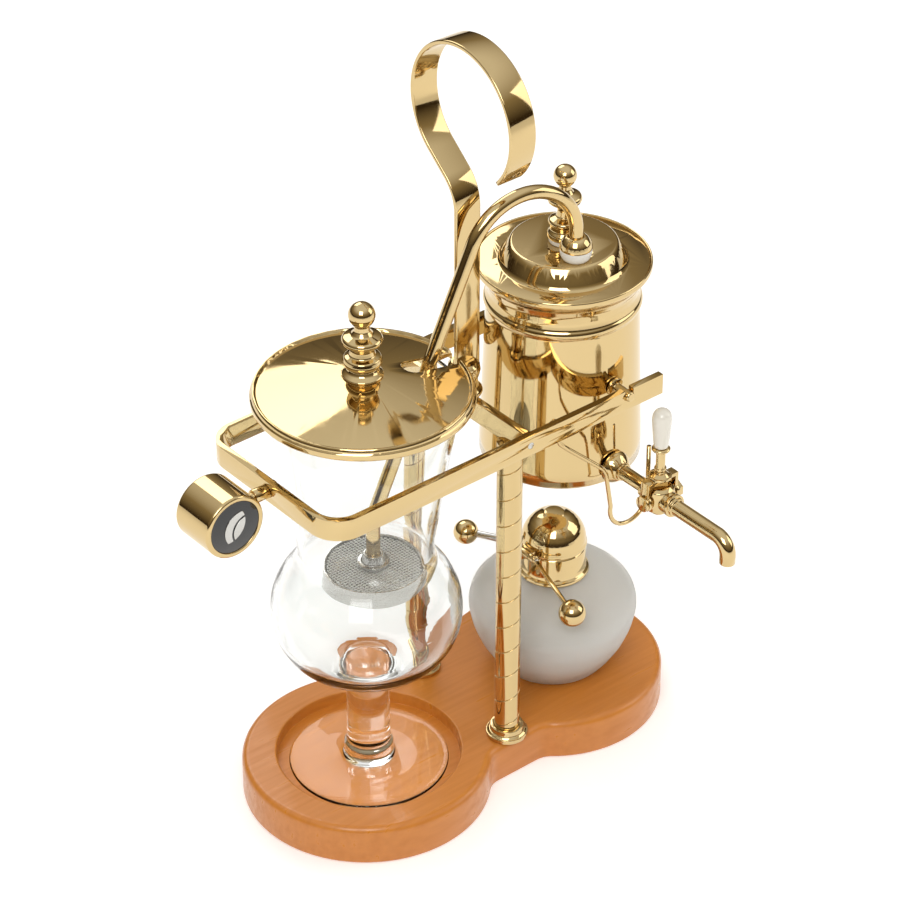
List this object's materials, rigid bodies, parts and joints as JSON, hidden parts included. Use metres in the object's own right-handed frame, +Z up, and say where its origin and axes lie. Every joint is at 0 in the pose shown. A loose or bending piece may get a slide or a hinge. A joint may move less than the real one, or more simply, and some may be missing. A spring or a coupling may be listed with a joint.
{
  "type": "balance siphon coffee maker",
  "caption": "Balance siphon coffee maker: glass vessel and metal boiler joined by a siphon tube, tilting counterweighted frame, spirit lamp with snuffer lid, wooden base",
  "frame": {"origin": "middle of the underside of the wooden base, half way between the ends of its two lobes", "axes": "+Z up; +X from the glass vessel's lobe to the lamp's lobe, along the base; -Y is the side the tap points to"},
  "size_m": [0.3185, 0.216, 0.458],
  "materials": {
    "lacquered_wood": "orange-brown lacquered rubberwood",
    "gold_plate": "light champagne gold plate, mirror polished",
    "stainless_steel": "turned and polished stainless steel",
    "steel_mesh": "fine woven steel gauze",
    "clear_glass": "clear blown borosilicate glass",
    "frosted_glass": "acid-etched glass",
    "white_ceramic": "white glazed porcelain",
    "white_silicone": "white silicone",
    "black_enamel": "gloss black enamel",
    "cotton": "braided cotton wick"
  },
  "bodies": {
    "stand": {"wooden_base": "lacquered_wood", "base_screws": "stainless_steel", "base_washers": "stainless_steel", "post_flanges": "gold_plate", "near_post": "gold_plate", "far_post": "gold_plate", "cross_bar": "gold_plate", "handle_foot": "gold_plate", "handle_foot_screw": "stainless_steel", "carrying_handle": "gold_plate", "handle_rivets": "gold_plate"},
    "balance": {"frame_band": "gold_plate", "pivot_pins": "stainless_steel", "weight_stud": "gold_plate", "counterweight": "gold_plate", "weight_badge": "black_enamel", "badge_emblem": "stainless_steel", "hook_screw": "gold_plate"},
    "hook": {"wire_hook": "gold_plate"},
    "boiler": {"boiler_shell": "gold_plate", "boiler_bottom": "gold_plate", "boiler_top": "gold_plate", "boiler_pins": "gold_plate", "tap_nut": "gold_plate", "tap_body": "gold_plate", "tap_spout": "gold_plate"},
    "filler": {"filler_plug": "gold_plate", "filler_seal": "white_silicone"},
    "tap_lever": {"tap_plug": "gold_plate", "tap_fork": "gold_plate", "tap_washer": "gold_plate", "tap_handle": "white_ceramic"},
    "siphon": {"siphon_tube": "gold_plate", "siphon_stopper": "white_silicone", "siphon_ferrule": "gold_plate", "filter_hub": "stainless_steel", "filter_cup": "stainless_steel", "filter_mesh": "steel_mesh"},
    "vessel": {"glass_vessel": "clear_glass"},
    "vessel_cover": {"vessel_lid": "gold_plate", "lid_knob": "gold_plate", "lid_knob_screw": "stainless_steel"},
    "lamp": {"lamp_bottle": "frosted_glass", "lamp_collar": "gold_plate", "wick_tube": "stainless_steel"},
    "wick_slider": {"wick": "cotton"},
    "wick_winder": {"wick_shaft": "stainless_steel", "wick_knob": "gold_plate"},
    "snuffer": {"snuffer_lid": "gold_plate", "lid_lever": "gold_plate", "lid_hinge_pin": "stainless_steel"}
  },
  "joints": [
    {"name": "balance_tilt", "type": "hinge", "parent": "stand", "child": "balance", "pos_m": [0.005, 0, 0.23425], "axis": [0, 1, 0], "range_deg": [-3, 3]},
    {"name": "boiler_hang", "type": "hinge", "parent": "balance", "child": "boiler", "pos_m": [0.076, 0, 0.2365], "axis": [0, 1, 0], "range_deg": [-3, 3]},
    {"name": "hook_swing", "type": "hinge", "parent": "balance", "child": "hook", "pos_m": [0.028, -0.0511, 0.23425], "axis": [0, 1, 0], "range_deg": [-4, 4]},
    {"name": "filler_lift", "type": "slide", "parent": "boiler", "child": "filler", "axis": [0, 0, 1], "range_m": [0, 0.012]},
    {"name": "tap_pull", "type": "hinge", "parent": "boiler", "child": "tap_lever", "pos_m": [0.076, -0.084, 0.184], "axis": [1, 0, 0], "range_deg": [0, 25]},
    {"name": "siphon_lift", "type": "slide", "parent": "boiler", "child": "siphon", "axis": [0, 0, 1], "range_m": [0, 0.008]},
    {"name": "vessel_lift", "type": "slide", "parent": "stand", "child": "vessel", "axis": [0, 0, 1], "range_m": [0, 0.009]},
    {"name": "cover_lift", "type": "slide", "parent": "vessel", "child": "vessel_cover", "axis": [0, 0, 1], "range_m": [0, 0.025]},
    {"name": "lamp_slide", "type": "slide", "parent": "stand", "child": "lamp", "axis": [1, 0, 0], "range_m": [0, 0.04]},
    {"name": "snuffer_open", "type": "hinge", "parent": "lamp", "child": "snuffer", "pos_m": [0.0507, 0, 0.1095], "axis": [0, -1, 0], "range_deg": [0, 110]},
    {"name": "wick_turn", "type": "hinge", "parent": "lamp", "child": "wick_winder", "pos_m": [0.073, 0, 0.101], "axis": [-0.515, 0.8572, 0], "range_deg": [0, 270]},
    {"name": "wick_rise", "type": "slide", "parent": "lamp", "child": "wick_slider", "axis": [0, 0, 1], "range_m": [0, 0.006]}
  ],
  "couplings": [
    {"joint": "boiler_hang", "follows": "balance_tilt", "ratio": -1},
    {"joint": "wick_rise", "follows": "wick_turn", "m_per_rad": 0.0012732}
  ]
}
